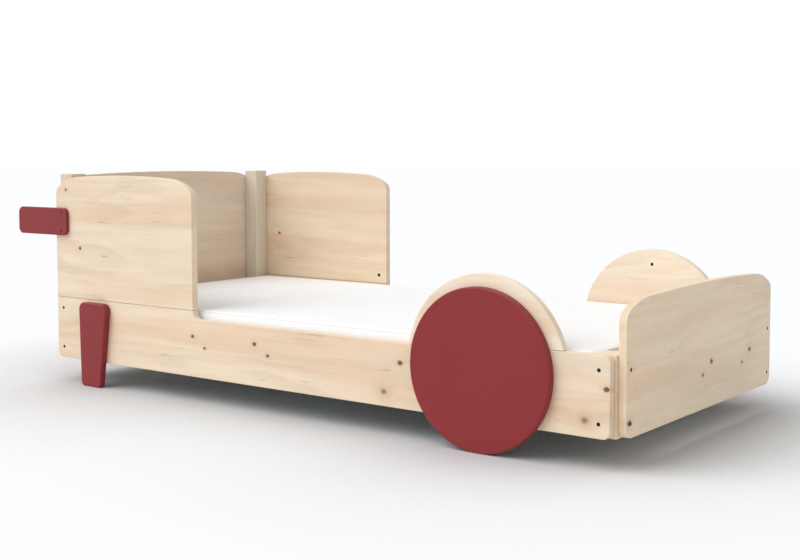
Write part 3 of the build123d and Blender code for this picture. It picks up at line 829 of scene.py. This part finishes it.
class FLOORBED_OT_fittings(bpy.types.Operator):
    """Finish the bolts, screws, inserts, cam fittings and dowels"""

    bl_idname = "floorbed.fittings"
    bl_label = "Finish Fittings"

    def execute(self, context):
        for *finish, names in METALS:
            material = metal(*finish)
            for name in names:
                dress(name, material)
        material = dowel_wood()
        for name in DOWELS:
            dress(name, material)
        return {"FINISHED"}


# Mattress

# Gap, in metres, under which two points are one
SEAM_GAP = 1e-6

# The top's hollows: depth and fade-in distance in metres, waves in radians per metre, starts
HOLLOW = 0.0007
HOLLOW_FADE = 0.12
HOLLOW_WAVES = (17.0, 21.0)
HOLLOW_STARTS = (1.3, 0.4)

# Radii of the edges and corners, bulge of the border, and how soon the top rises, in metres
EDGE = 0.016
CORNER = 0.034
SIDE_BULGE = 0.004
CROWN_FADE = 0.09

# The piping: its place on the edge, the share of its radius that is sunk in, and its sides
SEAM_SHARE = 0.29
PIPING_SUNK = 0.7
PIPING_SIDES = 12

# Points and rows of the cover; the top's rows widen towards its middle by a power
RING_POINTS = 320
SIDE_ROWS = 14
EDGE_ROWS = 7
TOP_ROWS = 26
TOP_SPREAD = 1.6

# Noise rates per metre of the cloth's slubs and clouds
SLUB_RATES = (40.0, 400.0, 0.0)
COTTON_CLOUD_RATE = 7.0

# The slubs' share of the relief, how far clouds swing the tone, how much painted shade darkens the
# weave's hollows between threads, and the depth
SLUB_SHARE = 0.6
COTTON_CLOUD = 0.03
WEAVE_HOLLOW_SHADE = 0.008
WEAVE_DEPTH = 0.00010

# The cover's surface
COTTON_SURFACE = {
    "Roughness": 0.9,
    "Specular IOR Level": 0.15,
    "Sheen Weight": 0.08,
    "Sheen Roughness": 0.6,
}


def rounded_loop(inset):
    """A loop of the mattress's outline, drawn in by a distance.

    The outline is a rectangle with quarter-circle corners. Its corners' own
    centres stay where they are until the loop is drawn in past them, and then
    they move in with it, so the loops close on a line along the middle.
    """
    middle = (MATTRESS_LOW + MATTRESS_HIGH) / 2
    half = (MATTRESS_HIGH - MATTRESS_LOW) / 2
    quarter = RING_POINTS // 4
    sweep = np.linspace(0.0, math.pi / 2, quarter // 2)
    radius = max(CORNER - inset, 0.0)
    reach_x = half.x - max(inset, CORNER)
    reach_y = half.y - max(inset, CORNER)
    corners = ((1, 1, 0.0), (-1, 1, 0.5), (-1, -1, 1.0), (1, -1, 1.5))
    arcs = []
    for sign_x, sign_y, turn in corners:
        angle = sweep + turn * math.pi
        arcs.append(
            np.stack(
                [
                    middle.x + sign_x * reach_x + radius * np.cos(angle),
                    middle.y + sign_y * reach_y + radius * np.sin(angle),
                ],
                axis=1,
            )
        )
    points = []
    for number, arc in enumerate(arcs):
        after = arcs[(number + 1) % 4]
        straight = np.linspace(arc[-1], after[0], quarter - quarter // 2 + 2)[1:-1]
        points.extend((arc, straight))
    return np.concatenate(points)


def mattress_profile(crown):
    """Half the mattress's section from its bottom's middle up to its top's.

    Rows are (inset, height, panel), where the panel number tells the bottom, 0,
    the border, 1, and the top, 2. The border bulges as a parabola, each edge is
    a quarter circle, and the top rises by crown * (1 - exp(-d / CROWN_FADE)), where
    d is the distance from its edge.
    """
    low, high = MATTRESS_LOW.z, MATTRESS_HIGH.z - crown
    reach = (MATTRESS_HIGH.y - MATTRESS_LOW.y) / 2
    share = np.linspace(0.0, 1.0, TOP_ROWS)
    flat = EDGE + SIDE_BULGE + (reach - EDGE - SIDE_BULGE) * share**TOP_SPREAD
    bottom = [(inset, low, 0) for inset in flat[::-1]]
    turn = np.linspace(0.0, math.pi / 2, EDGE_ROWS)[1:]
    lower = [
        (SIDE_BULGE + EDGE * (1 - math.sin(a)), low + EDGE * (1 - math.cos(a)), 1) for a in turn
    ]
    rise = np.linspace(-1.0, 1.0, SIDE_ROWS)[1:-1]
    middle, span = (low + high) / 2, (high - low) / 2 - EDGE
    side = [(SIDE_BULGE * t * t, middle + span * t, 1) for t in rise]
    turn = np.linspace(math.pi / 2, 0.0, EDGE_ROWS)[:-1]
    upper = [
        (SIDE_BULGE + EDGE * (1 - math.sin(a)), high - EDGE * (1 - math.cos(a)), 1) for a in turn
    ]
    climbs = crown * (1 - np.exp((flat[0] - flat) / CROWN_FADE))
    top = [(inset, high + climb, 2) for inset, climb in zip(flat, climbs)]
    return bottom + lower + side + upper + top


def closed_grid(name, rings):
    """A mesh from rows of equal closed rings, with faces between each pair."""
    rows, count = rings.shape[:2]
    row = np.arange(rows - 1)[:, None] * count
    step = np.arange(count)[None, :]
    after = (step + 1) % count
    faces = np.stack([row + step, row + after, row + count + after, row + count + step], axis=-1)
    mesh = bpy.data.meshes.new(name)
    mesh.from_pydata(rings.reshape(-1, 3).tolist(), [], faces.reshape(-1, 4).tolist())
    mesh.update()
    return mesh


def merged(mesh):
    """Join the points that lie on each other, so that seams are closed."""
    joined = bmesh.new()
    joined.from_mesh(mesh)
    bmesh.ops.remove_doubles(joined, verts=joined.verts, dist=SEAM_GAP)
    bmesh.ops.dissolve_degenerate(joined, edges=joined.edges, dist=SEAM_GAP)
    joined.to_mesh(mesh)
    joined.free()
    return mesh


def add_piece(name, mesh, material):
    """Put a new piece of the mattress into the scene, riding on its body."""
    mesh.materials.append(material)
    mesh.shade_smooth()
    piece = bpy.data.objects.new(name, mesh)
    bpy.context.scene.collection.objects.link(piece)
    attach(piece, "mattress")
    return piece


def cotton(settings):
    """Cotton cloth: threads cross as two sine waves on the cloth's own map.

    The height is |sin(pi u / s)| + |sin(pi v / s)| times a slow noise, where s
    is the thread spacing and (u, v) the map in metres.
    """
    material, shader, surface = new_material("mattress cotton")
    spot = shader.node("ShaderNodeUVMap", uv_map="cloth").outputs["UV"]
    u, v, _ = shader.parts(spot)
    waves = []
    for way in (u, v):
        turn = shader.math("MULTIPLY", way, math.pi / settings.thread_spacing)
        waves.append(shader.math("ABSOLUTE", shader.math("SINE", turn)))
    slub = shader.noise(shader.scaled(spot, SLUB_RATES), detail=2.0)
    weave = shader.math("ADD", waves[0], waves[1])
    uneven = shader.math("MULTIPLY_ADD", slub, SLUB_SHARE, 1.0 - SLUB_SHARE)
    height = shader.math("MULTIPLY", weave, uneven)
    soft = shader.noise(coordinates(shader), scale=COTTON_CLOUD_RATE, detail=2.0)
    tone = shader.swing(soft, COTTON_CLOUD, 1.0)
    # Painted shade: the weave's hollows between threads are a little darker
    threads = shader.math("MULTIPLY_ADD", weave, WEAVE_HOLLOW_SHADE, -2 * WEAVE_HOLLOW_SHADE)
    tone = shader.math("ADD", tone, threads)
    colour = shader.mix(1.0, opaque(settings.cover), shader.grey(tone), blend="MULTIPLY")
    shader.feed(surface.inputs["Base Color"], colour)
    for socket, value in COTTON_SURFACE.items():
        surface.inputs[socket].default_value = value
    shader.feed(surface.inputs["Normal"], shader.bump(height, WEAVE_DEPTH))
    return material


def face_corners(mesh, count):
    """For each face corner of a closed grid: its point, its face's row, its step round."""
    corner = np.empty(len(mesh.loops), dtype=np.int64)
    mesh.loops.foreach_get("vertex_index", corner)
    face = np.repeat(np.arange(len(mesh.polygons)), 4)
    step = face % count
    return corner, face // count, step + ((corner % count) != step)


def lay_map(mesh, spots):
    """Write the cloth's map, in metres."""
    layer = mesh.uv_layers.new(name="cloth")
    layer.data.foreach_set("uv", np.stack(spots, axis=1).ravel())


def run_round(loop):
    """The length along a closed loop up to each point, and its whole length last."""
    steps = np.linalg.norm(np.diff(loop, axis=0, append=loop[:1]), axis=1)
    return np.concatenate([[0.0], np.cumsum(steps)])


def mattress_body(settings):
    """The covered foam: drawn-in loops at the profile's heights, with slight hollows.

    The hollows are HOLLOW * (sin(a x + b) * sin(c y + d) - 1), with the waves a
    and c and the starts b and d, and fade out near the seam. The cloth's map is
    (x, y) on the top and bottom and (length, z) on the border.
    """
    profile = mattress_profile(settings.crown)
    insets, levels, panels = (np.array(column) for column in zip(*profile))
    loops = np.stack([rounded_loop(inset) for inset in insets])
    count = loops.shape[1]
    heights = np.repeat(levels[:, None], count, axis=1)
    x, y = loops[:, :, 0], loops[:, :, 1]
    wave_x, wave_y = HOLLOW_WAVES
    start_x, start_y = HOLLOW_STARTS
    hollow = HOLLOW * (np.sin(wave_x * x + start_x) * np.sin(wave_y * y + start_y) - 1.0)
    fade = np.clip(insets / HOLLOW_FADE, 0.0, 1.0)[:, None]
    heights = heights + np.where(panels[:, None] == 2, hollow * fade, 0.0)
    mesh = closed_grid("mattress_cover", np.dstack([loops, heights]))
    corner, row, step = face_corners(mesh, count)
    border = (panels[row] == 1) | (panels[row + 1] == 1)
    around = run_round(loops[len(panels) // 2])[step]
    u = np.where(border, around, x.ravel()[corner])
    v = np.where(border, heights.ravel()[corner], y.ravel()[corner])
    lay_map(mesh, (u, v))
    return merged(mesh)


def piping(name, height, radius):
    """Piping along a seam: a small circle carried along the mattress's outline.

    Each ring of the tube is centre + radius * (sin a * up - cos a * outward).
    """
    centre = rounded_loop(SIDE_BULGE + EDGE * SEAM_SHARE - radius * PIPING_SUNK)
    ahead = np.roll(centre, -1, axis=0) - np.roll(centre, 1, axis=0)
    ahead /= np.linalg.norm(ahead, axis=1)[:, None]
    outward = np.stack([ahead[:, 1], -ahead[:, 0]], axis=1)
    turns = np.linspace(0.0, 2 * math.pi, PIPING_SIDES + 1)
    rings = np.empty((len(turns), len(centre), 3))
    rings[:, :, :2] = centre - radius * np.cos(turns)[:, None, None] * outward
    rings[:, :, 2] = height + radius * np.sin(turns)[:, None]
    mesh = closed_grid(name, rings)
    corner, _, step = face_corners(mesh, len(centre))
    lay_map(mesh, (run_round(centre)[step], radius * turns[corner // len(centre)]))
    return merged(mesh)


class FLOORBED_OT_mattress(bpy.types.Operator):
    """Make the mattress with its border and piping"""

    bl_idname = "floorbed.mattress"
    bl_label = "Make Mattress"

    def execute(self, context):
        settings = context.scene.floorbed_mattress
        cloth = cotton(settings)
        cover = add_piece("mattress_cover", mattress_body(settings), cloth)
        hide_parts("mattress")
        low = MATTRESS_LOW.z + EDGE * SEAM_SHARE
        high = MATTRESS_HIGH.z - settings.crown - EDGE * SEAM_SHARE
        for name, height in (("mattress_low_piping", low), ("mattress_top_piping", high)):
            mesh = piping(name, height, settings.seam_radius)
            add_piece(name, mesh, cloth)
        return {"FINISHED"}


# Stage

# The floor's half width and the camera's reach, in metres
FLOOR_HALF = 40.0
CAMERA_REACH = 100.0

# The painted soft shade on the floor: rays that look for it, and how softly it meets its deepest
# tone
SHADE_RAYS = 8
SHADE_BLEND = 0.15

# How open the floor is where the painted cool tint of its deep shade is full, and where the tint
# ends
DEEP_SHADE = (0.04, 0.30)

WHITE = (1.0, 1.0, 1.0)


def add_key(stage):
    """A broad soft light, so far away that it falls alike on the whole bed."""
    lamp = bpy.data.lights.new("key", "SUN")
    lamp.energy = stage.key
    lamp.angle = stage.key_spread
    obj = bpy.data.objects.new("key", lamp)
    obj.rotation_euler = Vector(stage.key_from).to_track_quat("Z", "Y").to_euler()
    bpy.context.scene.collection.objects.link(obj)


def add_camera(stage):
    """The photograph's camera."""
    camera = bpy.data.cameras.new("camera")
    camera.lens = stage.lens
    camera.shift_x, camera.shift_y = stage.camera_shift
    camera.clip_end = CAMERA_REACH
    obj = bpy.data.objects.new("camera", camera)
    obj.location = stage.camera_place
    obj.rotation_euler = (math.pi / 2 - stage.camera_dip, 0.0, stage.camera_turn)
    bpy.context.scene.collection.objects.link(obj)
    bpy.context.scene.camera = obj


def add_floor(stage):
    """A pale floor that keeps the bed's shadow and is white where nothing shades it; where the
    camera sees it, its colour also carries a painted soft shade near the bed and a painted cool
    tint deep under it.
    """
    corners = [
        (side_x * FLOOR_HALF, side_y * FLOOR_HALF, 0.0)
        for side_x, side_y in ((-1, -1), (1, -1), (1, 1), (-1, 1))
    ]
    mesh = bpy.data.meshes.new("floor")
    mesh.from_pydata(corners, [], [(0, 1, 2, 3)])
    material = bpy.data.materials.new("studio floor")
    material.use_nodes = True
    shader = Shader(material.node_tree)
    material.node_tree.nodes.clear()
    plain = shader.node("ShaderNodeBsdfDiffuse")
    plain.inputs["Color"].default_value = opaque((stage.floor,) * 3)
    seen = shader.node("ShaderNodeBsdfDiffuse")
    # Painted shade: the floor's seen colour is darkened where ambient occlusion finds the bed near
    nearness = shader.node("ShaderNodeAmbientOcclusion", samples=SHADE_RAYS)
    nearness.inputs["Distance"].default_value = stage.shade_reach
    open_share = shader.math("POWER", nearness.outputs["AO"], stage.shade_depth)
    open_share = shader.math("SMOOTH_MAX", open_share, stage.shade_least, SHADE_BLEND)
    # Painted shade colour: a cooler tint painted deep under the bed, against the warm light the
    # wood throws there
    deep = shader.step(nearness.outputs["AO"], *DEEP_SHADE, 1.0, 0.0)
    tint = shader.mix(deep, opaque(WHITE), opaque(stage.shade_tint))
    tone = shader.mix(1.0, opaque(stage.seen_floor), shader.grey(open_share), blend="MULTIPLY")
    shader.feed(seen.inputs["Color"], shader.mix(1.0, tone, tint, blend="MULTIPLY"))
    path = shader.node("ShaderNodeLightPath")
    blend = shader.node("ShaderNodeMixShader")
    shader.feed(blend.inputs[0], path.outputs["Is Camera Ray"])
    shader.feed(blend.inputs[1], plain.outputs[0])
    shader.feed(blend.inputs[2], seen.outputs[0])
    result = shader.node("ShaderNodeOutputMaterial")
    shader.feed(result.inputs["Surface"], blend.outputs[0])
    mesh.materials.append(material)
    floor = bpy.data.objects.new("floor", mesh)
    bpy.context.scene.collection.objects.link(floor)


def light_world(stage):
    """An even dome of light, seen as plain white by the camera and in gloss."""
    world = bpy.data.worlds.new("studio")
    bpy.context.scene.world = world
    world.use_nodes = True
    shader = Shader(world.node_tree)
    world.node_tree.nodes.clear()
    path = shader.node("ShaderNodeLightPath")
    seen = shader.math("MAXIMUM", path.outputs["Is Camera Ray"], path.outputs["Is Glossy Ray"])
    seen = shader.math("MAXIMUM", seen, path.outputs["Is Transmission Ray"])
    strength = shader.math("MULTIPLY_ADD", seen, 1.0 - stage.dome, stage.dome)
    sky = shader.node("ShaderNodeBackground")
    sky.inputs["Color"].default_value = opaque(WHITE)
    shader.feed(sky.inputs["Strength"], strength)
    result = shader.node("ShaderNodeOutputWorld")
    shader.feed(result.inputs["Surface"], sky.outputs[0])


class FLOORBED_OT_stage(bpy.types.Operator):
    """Set the camera, floor and lamps"""

    bl_idname = "floorbed.stage"
    bl_label = "Set Stage"

    def execute(self, context):
        stage = context.scene.floorbed_stage
        add_camera(stage)
        add_floor(stage)
        light_world(stage)
        add_key(stage)
        context.scene.view_settings.view_transform = "Standard"
        return {"FINISHED"}


class FLOORBED_PT_sidebar(bpy.types.Panel):
    """Sizes, colours and pieces of the floor bed"""

    bl_idname = "FLOORBED_PT_sidebar"
    bl_label = "Floor Bed"
    bl_space_type = "VIEW_3D"
    bl_region_type = "UI"
    bl_category = "Floor Bed"

    def draw(self, context):
        for group in SETTINGS:
            box = self.layout.box()
            settings = getattr(context.scene, group)
            for name in settings.__annotations__:
                box.prop(settings, name)
        for operator in OPERATORS:
            self.layout.operator(operator.bl_idname)


SETTINGS = {
    "floorbed_pine": PineSettings,
    "floorbed_paint": PaintSettings,
    "floorbed_mattress": MattressSettings,
    "floorbed_stage": StageSettings,
}
OPERATORS = (
    FLOORBED_OT_pine_boards,
    FLOORBED_OT_painted_boards,
    FLOORBED_OT_fittings,
    FLOORBED_OT_mattress,
    FLOORBED_OT_stage,
)


def register():
    """Register the settings, operators and panel."""
    for name, settings in SETTINGS.items():
        bpy.utils.register_class(settings)
        setattr(bpy.types.Scene, name, PointerProperty(type=settings))
    for operator in OPERATORS:
        bpy.utils.register_class(operator)
    bpy.utils.register_class(FLOORBED_PT_sidebar)


def unregister():
    """Take back what register adds."""
    bpy.utils.unregister_class(FLOORBED_PT_sidebar)
    for operator in reversed(OPERATORS):
        bpy.utils.unregister_class(operator)
    for name, settings in reversed(SETTINGS.items()):
        delattr(bpy.types.Scene, name)
        bpy.utils.unregister_class(settings)


def main():
    """Build the looks in order."""
    register()
    bpy.ops.floorbed.stage()
    bpy.ops.floorbed.pine_boards()
    bpy.ops.floorbed.painted_boards()
    bpy.ops.floorbed.fittings()
    bpy.ops.floorbed.mattress()


if __name__ == "__main__":
    main()
